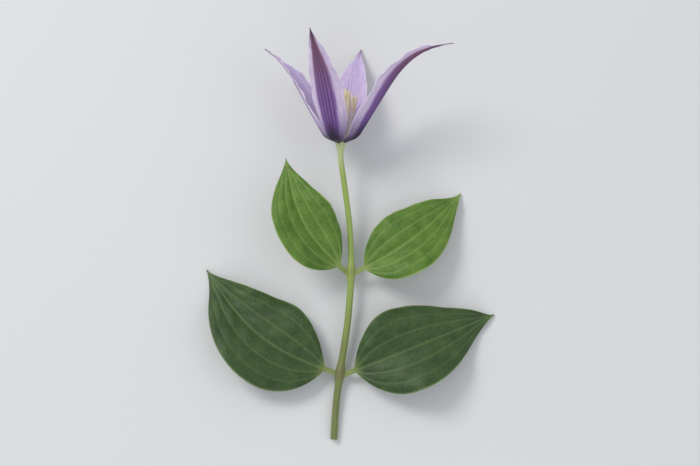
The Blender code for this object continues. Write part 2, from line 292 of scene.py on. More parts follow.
def make_mesh(name, points, faces, fields, skin_map, finishes, finish_of_face):
    """A smooth mesh with a number per field at each point and its skin mapped in millimetres."""
    mesh = bpy.data.meshes.new(name)
    mesh.from_pydata(points.tolist(), [], faces)
    for field, values in fields.items():
        layer = mesh.attributes.new(field, "FLOAT", "POINT")
        layer.data.foreach_set("value", np.ascontiguousarray(values, dtype=np.float32))
    corners = np.zeros(len(mesh.loops), dtype=np.int32)
    mesh.loops.foreach_get("vertex_index", corners)
    flat = mesh.uv_layers.new(name="skin_mm")
    flat.data.foreach_set("uv", np.asarray(skin_map, dtype=np.float32)[corners].ravel())
    for finish in finishes:
        mesh.materials.append(finish)
    mesh.polygons.foreach_set("material_index", np.asarray(finish_of_face, dtype=np.int32))
    mesh.shade_smooth()
    mesh.validate()
    obj = bpy.data.objects.new(name, mesh)
    bpy.context.scene.collection.objects.link(obj)
    return obj


def sheet(name, upper, lower, fields, skin_map, upper_finish, lower_finish):
    """Closes two matching grids, one above the other, with a rounded rim all round."""
    rows, columns = upper.shape[:2]
    size = rows * columns
    index = np.arange(size).reshape(rows, columns)
    a, b = index[:-1, :-1].ravel(), index[:-1, 1:].ravel()
    c, d = index[1:, 1:].ravel(), index[1:, :-1].ravel()
    faces = np.column_stack([a, b, c, d]).tolist()
    faces += (np.column_stack([a, d, c, b]) + size).tolist()
    rim = index[0, :].tolist() + index[1:, -1].tolist()
    rim += index[-1, -2::-1].tolist() + index[-2:0:-1, 0].tolist()
    middle = (upper + lower) / 2
    edge_rows, edge_columns = np.divmod(np.array(rim), columns)
    inside = middle[np.clip(edge_rows, 1, rows - 2), np.clip(edge_columns, 1, columns - 2)]
    edge = middle[edge_rows, edge_columns]
    gap = np.linalg.norm((upper - lower)[edge_rows, edge_columns], axis=1)[:, None]
    ring = edge + unit(edge - inside) * gap * RIM_ROUNDING
    count = len(rim)
    for k, here in enumerate(rim):
        there = rim[(k + 1) % count]
        outer_here, outer_there = 2 * size + k, 2 * size + (k + 1) % count
        faces.append([here, outer_here, outer_there, there])
        faces.append([outer_here, size + here, size + there, outer_there])
    points = np.vstack([upper.reshape(-1, 3), lower.reshape(-1, 3), ring])
    spread = {
        field: np.concatenate([values.ravel(), values.ravel(), values.ravel()[rim]])
        for field, values in fields.items()
    }
    flat = skin_map.reshape(-1, 2)
    flat = np.vstack([flat, flat, flat[rim]])
    finish_of_face = np.ones(len(faces), dtype=int)
    finish_of_face[: (rows - 1) * (columns - 1)] = 0
    finishes = (upper_finish, lower_finish)
    return make_mesh(name, points, faces, spread, flat, finishes, finish_of_face)


def swept(name, centres, sides, normals, outline, fields, finish):
    """An outline (rings x corners x 2) carried along a line of centres and closed at both ends."""
    rings, corners = outline.shape[:2]
    points = (
        centres[:, None]
        + outline[..., :1] * sides[:, None]
        + outline[..., 1:] * normals[:, None]
    ).reshape(-1, 3)
    index = np.arange(rings * corners).reshape(rings, corners)
    turned = np.roll(index, -1, axis=1)
    faces = np.column_stack(
        [index[:-1].ravel(), index[1:].ravel(), turned[1:].ravel(), turned[:-1].ravel()]
    ).tolist()
    faces.append(index[0].tolist())
    faces.append(index[-1][::-1].tolist())
    spread = {field: np.repeat(values, corners) for field, values in fields.items()}
    walked = walked_along(centres) / MM
    girth = np.linspace(0.0, 1.0, corners, endpoint=False) * 2 * math.pi
    widest = np.abs(outline).max() / MM
    flat = np.column_stack([np.tile(girth * widest, rings), np.repeat(walked, corners)])
    return make_mesh(name, points, faces, spread, flat, (finish,), np.zeros(len(faces), int))


# ---------------------------------------------------------------- finishes

def linear(hex_colour):
    """An sRGB hex colour as linear red, green, blue and alpha."""
    parts = [int(hex_colour[k : k + 2], 16) / 255 for k in (1, 3, 5)]
    return (*[p / 12.92 if p <= 0.04045 else ((p + 0.055) / 1.055) ** 2.4 for p in parts], 1.0)


def add(tree, kind, feeds=None, out=0, **settings):
    """Adds one node, feeds its sockets with values or with other sockets, and gives one output."""
    made = tree.nodes.new(kind)
    for setting, value in settings.items():
        setattr(made, setting, value)
    for socket, value in (feeds or {}).items():
        if isinstance(value, bpy.types.NodeSocket):
            tree.links.new(value, made.inputs[socket])
        else:
            made.inputs[socket].default_value = value
    return made.outputs[out]


def new_finish(name, sockets):
    """A material with the shader's own numbers set; gives the material and its tree."""
    material = bpy.data.materials.new(name)
    material.use_nodes = True
    tree = material.node_tree
    for socket, value in sockets.items():
        tree.nodes[SHADER].inputs[socket].default_value = value
    return material, tree


def finished(material, colour, gloss, bump):
    """Feeds the material's shader its colour, roughness and relief, and gives the material."""
    tree = material.node_tree
    for socket, output in (("Base Color", colour), ("Roughness", gloss), ("Normal", bump)):
        tree.links.new(output, tree.nodes[SHADER].inputs[socket])
    return material


SHADER = "Principled BSDF"
MATH = "ShaderNodeMath"
MIX = "ShaderNodeMix"
NOISE = "ShaderNodeTexNoise"
RANGE = "ShaderNodeMapRange"
FIELD = "ShaderNodeAttribute"
BUMP = "ShaderNodeBump"
STRETCH = "ShaderNodeMapping"
CELLS = "ShaderNodeTexVoronoi"

# Sockets by number: a mix has its share at 0 and its two colours at 6 and 7; a range has its
# value at 0, runs from 1 to 2 and gives 3 to 4; MULTIPLY_ADD gives 0 times 1, plus 2.
COLOUR = {"out": 2, "data_type": "RGBA"}
MULTIPLIED = {**COLOUR, "blend_type": "MULTIPLY"}
SMOOTH = {"interpolation_type": "SMOOTHSTEP"}


def tepal_outside():
    """Back of a fresh tepal: waxy petal skin, grown in ridges along its length.

    The eye gets dark violet ribs with lighter violet between them, a pale downy margin, a nearly
    black foot, and a browner tip. Petal skin has an IOR near 1.42 and scatters some light inside.
    """
    material, tree = new_finish("tepal_skin_ribbed_outside", {
        "IOR": 1.42, "Sheen Weight": 0.22, "Sheen Roughness": 0.45, "Sheen Tint": linear("#D9C8E6"),
        "Subsurface Weight": 0.12, "Subsurface Scale": 0.0008, "Subsurface Radius": (1.0, 0.6, 1.0),
    })
    skin = add(tree, "ShaderNodeUVMap", uv_map="skin_mm")
    along = add(tree, FIELD, out="Fac", attribute_name="along")
    across = add(tree, FIELD, out="Fac", attribute_name="across")
    rib = add(tree, FIELD, out="Fac", attribute_name="rib")
    # Cell rows run lengthwise: streaks about 0.4 mm wide and 6 mm long.
    lengthwise = add(tree, STRETCH, {"Vector": skin, "Scale": (2.4, 0.16, 1.0)})
    streaks = add(tree, NOISE,
        {"Vector": lengthwise, "Scale": 1.0, "Detail": 5.0, "Roughness": 0.6})
    clouds = add(tree, NOISE, {"Vector": skin, "Scale": 0.22, "Detail": 3.0})
    off_middle = add(tree, MATH, {0: across}, operation="ABSOLUTE")
    uneven = add(tree, MATH, {0: streaks, 1: 0.22, 2: off_middle}, operation="MULTIPLY_ADD")
    margin = add(tree, RANGE, {0: uneven, 1: 0.52, 2: 0.70}, **SMOOTH)
    upper_half = add(tree, RANGE, {0: along, 1: 0.34, 2: 0.80}, **SMOOTH)
    between = add(tree, MIX, {0: upper_half, 6: linear("#8A62A8"), 7: linear("#8E6084")}, **COLOUR)
    ridge = add(tree, MIX, {0: upper_half, 6: linear("#3B2054"), 7: linear("#50293F")}, **COLOUR)
    broken = add(tree, RANGE, {0: streaks, 1: 0.30, 2: 0.60, 3: 0.68, 4: 1.0})
    ridge_share = add(tree, MATH, {0: rib, 1: broken}, operation="MULTIPLY")
    band = add(tree, MIX, {0: ridge_share, 6: between, 7: ridge}, **COLOUR)
    edge_tint = add(tree, MIX, {0: clouds, 6: linear("#C4AFD2"), 7: linear("#DCCFE6")}, **COLOUR)
    banded = add(tree, MIX, {0: margin, 6: band, 7: edge_tint}, **COLOUR)
    # Pale line along the very edge: partly the tepal's downy rim, partly a painted edge highlight.
    rim = add(tree, RANGE, {0: off_middle, 1: 0.90, 2: 1.0, 4: 0.60}, **SMOOTH)
    rimmed = add(tree, MIX, {0: rim, 6: banded, 7: linear("#EADFF0")}, **COLOUR)
    tip = add(tree, RANGE, {0: along, 1: 0.80, 2: 1.0, 4: 0.8}, **SMOOTH)
    tipped = add(tree, MIX, {0: tip, 6: rimmed, 7: linear("#4F3A42")}, **COLOUR)
    low = add(tree, RANGE, {0: along, 1: 0.05, 2: 0.30, 3: 0.75, 4: 0.0}, **SMOOTH)
    lowered = add(tree, MIX, {0: low, 6: tipped, 7: linear("#57357A")}, **COLOUR)
    climb = add(tree, MATH, {0: uneven, 1: 0.16, 2: along}, operation="MULTIPLY_ADD")
    foot = add(tree, RANGE, {0: climb, 1: 0.09, 2: 0.27, 3: 0.97, 4: 0.0}, **SMOOTH)
    footed = add(tree, MIX, {0: foot, 6: lowered, 7: linear("#1C0F26")}, **COLOUR)
    shade = add(tree, RANGE, {0: streaks, 1: 0.25, 2: 0.75, 3: 0.84, 4: 1.12})
    colour = add(tree, MIX, {0: 1.0, 6: footed, 7: shade}, **MULTIPLIED)
    gloss = add(tree, RANGE, {0: clouds, 1: 0.3, 2: 0.7, 3: 0.46, 4: 0.60})
    grain = add(tree, NOISE, {"Vector": skin, "Scale": 7.0, "Detail": 2.0})
    relief = add(tree, MATH, {0: grain, 1: 0.35, 2: streaks}, operation="MULTIPLY_ADD")
    bump = add(tree, BUMP, {"Strength": 0.35, "Distance": 0.00012, "Height": relief})
    return finished(material, colour, gloss, bump)


def tepal_inside():
    """Inner face of a fresh tepal: smooth petal skin, drawn taut between fine lengthwise veins.

    The eye gets pale lilac with slightly deeper veins and middle groove, nearly white at the foot.
    """
    material, tree = new_finish("tepal_skin_pale_inside", {
        "IOR": 1.42, "Sheen Weight": 0.18, "Sheen Roughness": 0.5, "Sheen Tint": linear("#F0E8F8"),
        "Subsurface Weight": 0.22, "Subsurface Scale": 0.0010,
        "Subsurface Radius": (1.0, 0.75, 1.0),
    })
    skin = add(tree, "ShaderNodeUVMap", uv_map="skin_mm")
    along = add(tree, FIELD, out="Fac", attribute_name="along")
    across = add(tree, FIELD, out="Fac", attribute_name="across")
    rib = add(tree, FIELD, out="Fac", attribute_name="rib")
    lengthwise = add(tree, STRETCH, {"Vector": skin, "Scale": (2.0, 0.10, 1.0)})
    streaks = add(tree, NOISE,
        {"Vector": lengthwise, "Scale": 1.0, "Detail": 5.0, "Roughness": 0.6})
    clouds = add(tree, NOISE, {"Vector": skin, "Scale": 0.16, "Detail": 3.0})
    ground = add(tree, MIX, {0: clouds, 6: linear("#BBA8D2"), 7: linear("#D3C6DF")}, **COLOUR)
    vein = add(tree, RANGE, {0: streaks, 1: 0.50, 2: 0.72, 3: 0.0, 4: 0.55})
    groove = add(tree, MATH, {0: rib, 1: 0.42, 2: vein}, operation="MULTIPLY_ADD", use_clamp=True)
    veined = add(tree, MIX, {0: groove, 6: ground, 7: linear("#9478BE")}, **COLOUR)
    foot = add(tree, RANGE, {0: along, 1: 0.02, 2: 0.20, 3: 0.85, 4: 0.0}, **SMOOTH)
    off_middle = add(tree, MATH, {0: across}, operation="ABSOLUTE")
    # Pale line along the very edge: partly the tepal's downy rim, partly a painted edge highlight.
    rim = add(tree, RANGE, {0: off_middle, 1: 0.90, 2: 1.0, 4: 0.55}, **SMOOTH)
    rimmed = add(tree, MIX, {0: rim, 6: veined, 7: linear("#EADFF0")}, **COLOUR)
    footed = add(tree, MIX, {0: foot, 6: rimmed, 7: linear("#DAD5DA")}, **COLOUR)
    tip = add(tree, RANGE, {0: along, 1: 0.82, 2: 1.0, 4: 0.75}, **SMOOTH)
    colour = add(tree, MIX, {0: tip, 6: footed, 7: linear("#7B6580")}, **COLOUR)
    gloss = add(tree, RANGE, {0: clouds, 1: 0.3, 2: 0.7, 3: 0.50, 4: 0.62})
    grain = add(tree, NOISE, {"Vector": skin, "Scale": 8.0, "Detail": 2.0})
    relief = add(tree, MATH, {0: grain, 1: 0.3, 2: streaks}, operation="MULTIPLY_ADD")
    bump = add(tree, BUMP, {"Strength": 0.3, "Distance": 0.00010, "Height": relief})
    return finished(material, colour, gloss, bump)


def leaf_face(name, ground_dark, ground_light, vein_tint, roughness, net_depth):
    """A leaf's face: waxy leaf skin over a net of veins.

    The eye gets a soft green with paler main veins that run in arcs from foot to tip, a fine net
    between them about 2 mm wide, and a thin pale edge. Leaf wax has an IOR near 1.42.
    """
    material, tree = new_finish(name, {
        "IOR": 1.42, "Specular IOR Level": 0.38,
        "Subsurface Weight": 0.06, "Subsurface Scale": 0.0006,
        "Subsurface Radius": (0.5, 1.0, 0.25),
    })
    skin = add(tree, "ShaderNodeUVMap", uv_map="skin_mm")
    along = add(tree, FIELD, out="Fac", attribute_name="along")
    across = add(tree, FIELD, out="Fac", attribute_name="across")
    vein = add(tree, FIELD, out="Fac", attribute_name="vein")
    wander = add(tree, NOISE, {"Vector": skin, "Scale": 0.5, "Detail": 2.0}, out="Color")
    bent = add(tree, "ShaderNodeVectorMath",
        {0: wander, 1: (1.6, 1.6, 0.0), 2: skin}, operation="MULTIPLY_ADD")
    squeezed = add(tree, STRETCH, {"Vector": bent, "Scale": (0.52, 0.34, 1.0)})
    net_edge = add(tree, CELLS, {"Vector": squeezed, "Scale": 1.0}, feature="DISTANCE_TO_EDGE")
    fine_edge = add(tree, CELLS, {"Vector": bent, "Scale": 1.25}, feature="DISTANCE_TO_EDGE")
    net = add(tree, RANGE, {0: net_edge, 1: 0.0, 2: 0.11, 3: 1.0, 4: 0.0}, **SMOOTH)
    fine_net = add(tree, RANGE, {0: fine_edge, 1: 0.0, 2: 0.16, 3: 0.45, 4: 0.0}, **SMOOTH)
    clouds = add(tree, NOISE, {"Vector": skin, "Scale": 0.13, "Detail": 4.0})
    cloudy = add(tree, RANGE, {0: clouds, 1: 0.32, 2: 0.68})
    ground = add(tree, MIX, {0: cloudy, 6: linear(ground_dark), 7: linear(ground_light)}, **COLOUR)
    both_nets = add(tree, MATH, {0: net, 1: fine_net}, operation="MAXIMUM")
    net_share = add(tree, MATH, {0: both_nets, 1: 0.15}, operation="MULTIPLY")
    netted = add(tree, MIX, {0: net_share, 6: ground, 7: linear(vein_tint)}, **COLOUR)
    vein_share = add(tree, MATH, {0: vein, 1: 0.52}, operation="MULTIPLY")
    veined = add(tree, MIX, {0: vein_share, 6: netted, 7: linear(vein_tint)}, **COLOUR)
    off_middle = add(tree, MATH, {0: across}, operation="ABSOLUTE")
    edge = add(tree, RANGE, {0: off_middle, 1: 0.955, 2: 0.99, 4: 0.75}, **SMOOTH)
    edged = add(tree, MIX, {0: edge, 6: veined, 7: linear(vein_tint)}, **COLOUR)
    stalk = add(tree, RANGE, {0: along, 1: 0.02, 2: 0.12, 3: 0.75, 4: 0.0}, **SMOOTH)
    stalked = add(tree, MIX, {0: stalk, 6: edged, 7: linear("#8B9658")}, **COLOUR)
    specks = add(tree, NOISE, {"Vector": skin, "Scale": 0.9, "Detail": 6.0, "Roughness": 0.7})
    shade = add(tree, RANGE, {0: specks, 1: 0.3, 2: 0.7, 3: 0.88, 4: 1.10})
    colour = add(tree, MIX, {0: 1.0, 6: stalked, 7: shade}, **MULTIPLIED)
    gloss = add(tree, RANGE, {0: specks, 1: 0.3, 2: 0.7, 3: roughness - 0.06, 4: roughness + 0.08})
    puffed = add(tree, MATH, {0: both_nets, 1: -1.0, 2: 1.0}, operation="MULTIPLY_ADD")
    grain = add(tree, NOISE, {"Vector": skin, "Scale": 6.0, "Detail": 2.0})
    relief = add(tree, MATH, {0: grain, 1: 0.15, 2: puffed}, operation="MULTIPLY_ADD")
    bump = add(tree, BUMP, {"Strength": 0.32, "Distance": net_depth, "Height": relief})
    return finished(material, colour, gloss, bump)


def stem_skin():
    """Green stem: ridged, slightly downy skin over soft wood.

    The eye gets yellow green ridges, paler towards the flower, a flush of purple brown lower down
    and around the leaf nodes, and a pale pithy cut.
    """
    material, tree = new_finish("stem_skin_ridged", {
        "IOR": 1.45, "Sheen Weight": 0.2, "Sheen Roughness": 0.4, "Sheen Tint": linear("#E9EFD2"),
        "Subsurface Weight": 0.06, "Subsurface Scale": 0.0008, "Subsurface Radius": (0.7, 1.0, 0.3),
    })
    skin = add(tree, "ShaderNodeUVMap", uv_map="skin_mm")
    along = add(tree, FIELD, out="Fac", attribute_name="along")
    node = add(tree, FIELD, out="Fac", attribute_name="node")
    cut = add(tree, FIELD, out="Fac", attribute_name="cut")
    ridge = add(tree, FIELD, out="Fac", attribute_name="ridge")
    lengthwise = add(tree, STRETCH, {"Vector": skin, "Scale": (2.2, 0.12, 1.0)})
    streaks = add(tree, NOISE, {"Vector": lengthwise, "Scale": 1.0, "Detail": 4.0})
    lower = add(tree, RANGE, {0: along, 1: 0.15, 2: 0.62}, **SMOOTH)
    young = add(tree, MIX, {0: lower, 6: linear("#6F7F42"), 7: linear("#8FA653")}, **COLOUR)
    near_flower = add(tree, RANGE, {0: along, 1: 0.86, 2: 0.98}, **SMOOTH)
    necked = add(tree, MIX, {0: near_flower, 6: young, 7: linear("#B4BE8C")}, **COLOUR)
    flush = add(tree, RANGE, {0: streaks, 1: 0.42, 2: 0.66, 3: 0.0, 4: 0.55})
    low_only = add(tree, RANGE, {0: along, 1: 0.25, 2: 0.60, 3: 1.0, 4: 0.12})
    flushed_share = add(tree, MATH, {0: flush, 1: low_only}, operation="MULTIPLY")
    node_share = add(tree, MATH,
        {0: node, 1: 0.30, 2: flushed_share}, operation="MULTIPLY_ADD", use_clamp=True)
    flushed = add(tree, MIX, {0: node_share, 6: necked, 7: linear("#6A4A48")}, **COLOUR)
    # Painted shade and light: the colour is darkened in the furrows between the ridges and
    # brightened on the ridge tops.
    furrow_shade_ridge_light = add(tree, RANGE, {0: ridge, 1: 0.0, 2: 1.0, 3: 0.78, 4: 1.12})
    ridged = add(tree, MIX, {0: 1.0, 6: flushed, 7: furrow_shade_ridge_light}, **MULTIPLIED)
    pith = add(tree, MIX, {0: streaks, 6: linear("#C9CBA0"), 7: linear("#E4E2C4")}, **COLOUR)
    colour = add(tree, MIX, {0: cut, 6: ridged, 7: pith}, **COLOUR)
    gloss = add(tree, RANGE, {0: streaks, 1: 0.3, 2: 0.7, 3: 0.42, 4: 0.58})
    grain = add(tree, NOISE, {"Vector": skin, "Scale": 6.0, "Detail": 2.0})
    relief = add(tree, MATH, {0: grain, 1: 0.4, 2: streaks}, operation="MULTIPLY_ADD")
    bump = add(tree, BUMP, {"Strength": 0.4, "Distance": 0.00012, "Height": relief})
    return finished(material, colour, gloss, bump)


def slip_finish(name, foot_tint, head_tint, tip_tint, change_from, change_to):
    """A stamen's or pistil's skin: soft, downy and dry, dusted with pollen towards its head."""
    material, tree = new_finish(name, {
        "IOR": 1.4, "Sheen Weight": 0.35, "Sheen Roughness": 0.6, "Sheen Tint": linear("#FFF4D8"),
        "Subsurface Weight": 0.12, "Subsurface Scale": 0.0006, "Subsurface Radius": (1.0, 0.8, 0.4),
    })
    skin = add(tree, "ShaderNodeUVMap", uv_map="skin_mm")
    along = add(tree, FIELD, out="Fac", attribute_name="along")
    dust = add(tree, NOISE, {"Vector": skin, "Scale": 3.5, "Detail": 4.0})
    head = add(tree, RANGE, {0: along, 1: change_from, 2: change_to}, **SMOOTH)
    body = add(tree, MIX, {0: head, 6: linear(foot_tint), 7: linear(head_tint)}, **COLOUR)
    tip = add(tree, RANGE, {0: along, 1: 0.93, 2: 1.0, 4: 0.8})
    tipped = add(tree, MIX, {0: tip, 6: body, 7: linear(tip_tint)}, **COLOUR)
    shade = add(tree, RANGE, {0: dust, 1: 0.3, 2: 0.7, 3: 0.80, 4: 1.12})
    colour = add(tree, MIX, {0: 1.0, 6: tipped, 7: shade}, **MULTIPLIED)
    gloss = add(tree, RANGE, {0: dust, 1: 0.3, 2: 0.7, 3: 0.62, 4: 0.80})
    bump = add(tree, BUMP, {"Strength": 0.5, "Distance": 0.00008, "Height": dust})
    return finished(material, colour, gloss, bump)


# ---------------------------------------------------------------- pieces

def stem_radii(line):
    """Radius of the stem along its line: thick and thin stretches, leaf nodes and the neck."""
    to_go = walked_along(line)[-1] - walked_along(line)
    thinner = ease(line[:, 1], PEDUNCLE_FROM, PEDUNCLE_TO)
    radii = STEM_RADIUS + (PEDUNCLE_RADIUS - STEM_RADIUS) * thinner
    for place in (LOWER_NODE_AT, UPPER_NODE_AT):
        radii = radii + NODE_SWELLING * np.exp(-(((line[:, 1] - place) / NODE_LENGTH) ** 2))
    return radii + (NECK_RADIUS - PEDUNCLE_RADIUS) * (1.0 - ease(to_go, 0.0, NECK_LENGTH))


def build_stem(finish):
    """Stem, flower stalk and receptacle, with fine ridges and a clean pithy cut."""
    line = through(STEM_ROUTE, STEM_RINGS)
    foot, axis = flower_frame()[:2]
    start = unit(line[1] - line[0])
    dome = np.linspace(DOME_START, 1.0, DOME_RINGS)
    dome_heights = RECEPTACLE_HEIGHT * (DOME_FOOT + DOME_RISE * np.sin(dome * math.pi / 2) ** 2)
    dome_radii = RECEPTACLE_RADIUS * np.cos(dome * math.pi / 2 * DOME_CLOSING) ** DOME_FULLNESS
    radii = stem_radii(line)
    centres = np.vstack([
        line[0] + np.outer(CUT_DEPTHS, start), line, foot + np.outer(dome_heights, axis)
    ])
    all_radii = np.concatenate([radii[0] * CUT_SHARES, radii, dome_radii])
    cut_rings = len(CUT_SHARES)
    tangents = np.vstack([
        np.tile(start, (cut_rings, 1)),
        unit(np.gradient(line, axis=0)),
        np.tile(axis, (DOME_RINGS, 1)),
    ])
    sides = unit(np.cross(tangents, (0.0, 0.0, 1.0)))
    normals = np.cross(sides, tangents)
    turn = np.arange(STEM_CORNERS) * 2 * math.pi / STEM_CORNERS
    along = np.concatenate([
        np.zeros(cut_rings), np.linspace(0, 1, STEM_RINGS), np.ones(DOME_RINGS)
    ])
    winding = turn[None, :] + STEM_RIDGE_WINDING * along[:, None]
    ridge = np.abs(np.cos(winding * STEM_RIDGES / 2)) ** STEM_RIDGE_SHARPNESS
    ridge_depth = STEM_RIDGE_DEPTH * (1.0 - 0.75 * ease(along, 0.9, 1.0))[:, None]
    swell = all_radii[:, None] * (1.0 - ridge_depth * (1.0 - ridge))
    outline = np.stack([np.cos(turn) * swell, np.sin(turn) * swell], axis=-1)
    node = sum(np.exp(-(((centres[:, 1] - place) / (NODE_LENGTH * NODE_TINT_SHARE)) ** 2))
               for place in (LOWER_NODE_AT, UPPER_NODE_AT))
    cut = np.concatenate([np.ones(cut_rings), np.zeros(len(centres) - cut_rings)])
    fields = {"along": along, "node": node, "cut": cut}
    piece = swept("flower_stem", placed(centres), sides, normals, outline, fields, finish)
    layer = piece.data.attributes.new("ridge", "FLOAT", "POINT")
    layer.data.foreach_set("value", ridge.astype(np.float32).ravel())
    return piece


def tepal_half_width(s):
    """Lance shape: broad foot, widest before the middle, drawn out to a long point."""
    foot, rise, taper = 0.15, 1.2, 1.45
    widest = (rise - taper * foot) / (rise + taper)
    s = np.clip(s, 0.0, 1.0)
    shape = ((s + foot) / (widest + foot)) ** rise * ((1 - s) / (1 - widest)) ** taper
    return TEPAL_HALF_WIDTH * shape + TEPAL_TIP_HALF_WIDTH


def tepal_spine(rows, length, foot_lean, opening, tip_lean):
    """Radius, height and lean of the middle line, rows along it; below 0 it runs into the stem."""
    s = np.linspace(0.0, 1.0, FINE_STEPS)
    lean = foot_lean + (opening - foot_lean) * ease(s, 0.0, TEPAL_FOOT_BEND)
    lean = np.radians(lean + (tip_lean - opening) * ease(s, *TEPAL_RECURVE))
    step = length / (len(s) - 1)
    radius = TEPAL_FOOT_RADIUS + np.concatenate([[0.0], np.cumsum(np.sin(lean[:-1]) * step)])
    height = np.concatenate([[0.0], np.cumsum(np.cos(lean[:-1]) * step)])
    radius, height, lean = (np.interp(rows, s, v) for v in (radius, height, lean))
    root = np.minimum(rows, 0.0) * length
    return radius + root * math.sin(lean[0]), height + root * math.cos(lean[0]), lean


def build_tepal(name, azimuth, length, foot_lean, opening, tip_lean, bend, twist, inside, outside):
    """A boat-shaped tepal: hollow inside, ribbed outside, with thin waving margins."""
    foot, axis = flower_frame()[:2]
    outward, sideways = directions_at(math.radians(azimuth))
    rows = np.concatenate([
        np.linspace(-TEPAL_ROOT / length, 0.0, TEPAL_ROOT_ROWS)[:-1],
        np.linspace(0.0, 1.0, TEPAL_ROWS) ** 1.06,
    ])
    u = np.linspace(-1.0, 1.0, TEPAL_COLUMNS)[None, :]
    s = rows[:, None]
    radius, height, lean = tepal_spine(rows, length, foot_lean, opening, tip_lean)
    inward = np.outer(np.sin(lean), axis) - np.outer(np.cos(lean), outward)
    roll = np.radians(twist) * ease(rows, 0.25, 1.0)
    roll = (roll + math.radians(details.uniform(*TIP_ROLL)) * ease(rows, 0.86, 1.0))[:, None]
    across_line = np.cos(roll) * sideways + np.sin(roll) * inward
    hollow = np.cos(roll) * inward - np.sin(roll) * sideways
    bends = bend * rows**2 + TIP_STRAY * details.uniform(-1, 1) * ease(rows, 0.8, 1.0)
    bends = bends[:, None]
    spine = foot + np.outer(height, axis) + np.outer(radius, outward) + bends * sideways
    rooted = np.clip(-s * length / TEPAL_ROOT, 0.0, 1.0)
    half_width = tepal_half_width(s) * (1.0 - TEPAL_ROOT_NARROWING * rooted)
    cup = TEPAL_CUP_FOOT + (TEPAL_CUP_MIDDLE - TEPAL_CUP_FOOT) * ease(s, 0.05, 0.3)
    cup = np.radians(cup + (TEPAL_CUP_TIP - TEPAL_CUP_MIDDLE) * ease(s, 0.45, 1.0))
    x = half_width * np.sin(u * cup) / cup
    rise = half_width * (1 - np.cos(u * cup)) / cup
    outer_part = np.maximum(0.0, np.abs(u) - MARGIN_FLARE_START) ** 1.5
    flare = MARGIN_FLARE * half_width * outer_part * ease(s, 0.12, 0.42)
    phase = np.where(u > 0, details.uniform(0, 6), details.uniform(0, 6))
    waves = 2 * math.pi * details.uniform(*MARGIN_WAVES)
    free_edge = ease(np.abs(u), 0.5, 1.0) * ease(s, 0.16, 0.4) * (1 - 0.55 * ease(s, 0.75, 1.0))
    wave = MARGIN_WAVE * free_edge * np.sin(waves * s + phase)
    quicker = np.sin(waves * (2.0 + 0.5 * s) * s + 2.7 * phase)
    wave = wave + 0.55 * MARGIN_WAVE * free_edge * quicker
    wave = wave + MARGIN_CRIMP * free_edge**2 * np.sin(waves * MARGIN_CRIMPS * s + 2 * phase)
    lift = (rise - flare + wave)[..., None]
    middle = spine[:, None] + x[..., None] * across_line[:, None] + lift * hollow[:, None]
    outwards = grid_normals(middle)
    thickness = TEPAL_EDGE_THICKNESS + (TEPAL_MIDDLE_THICKNESS - TEPAL_EDGE_THICKNESS) * (
        1 - np.abs(u) ** 1.4
    )
    thickness = thickness * (1.0 - TEPAL_TIP_THINNING * ease(s, 0.6, 1.0))
    rib = sum(
        strength * np.exp(-(((u - place * (1 - 0.25 * ease(s, 0.6, 1.0))) / RIB_WIDTH) ** 2))
        for place, strength in zip(RIB_PLACES, RIB_STRENGTHS)
    ) + 0.0 * s
    rib_height = RIB_HEIGHT * (1.0 - 0.75 * ease(s, 0.55, 1.0)) * ease(s, -0.02, 0.08)
    inner = middle - outwards * (thickness * 0.5 - rib * rib_height * RIB_GROOVE_SHARE)[..., None]
    outer = middle + outwards * (thickness * 0.5 + rib * rib_height)[..., None]
    fields = {"along": s + 0.0 * u, "across": u + 0.0 * s, "rib": np.minimum(rib, 1.0)}
    skin_map = np.stack([u * half_width / MM, (s + 0.0 * u) * length / MM], axis=-1)
    skin_map = skin_map + details.uniform(0, 90)
    return sheet(name, placed(outer), placed(inner), fields, skin_map, outside, inside)


def receptacle_height(radius):
    """Height of the receptacle's dome above the flower's foot, this far from its axis."""
    share = min(radius / RECEPTACLE_RADIUS, 1.0)
    return RECEPTACLE_HEIGHT * (1.0 - RECEPTACLE_FALL * share**3)


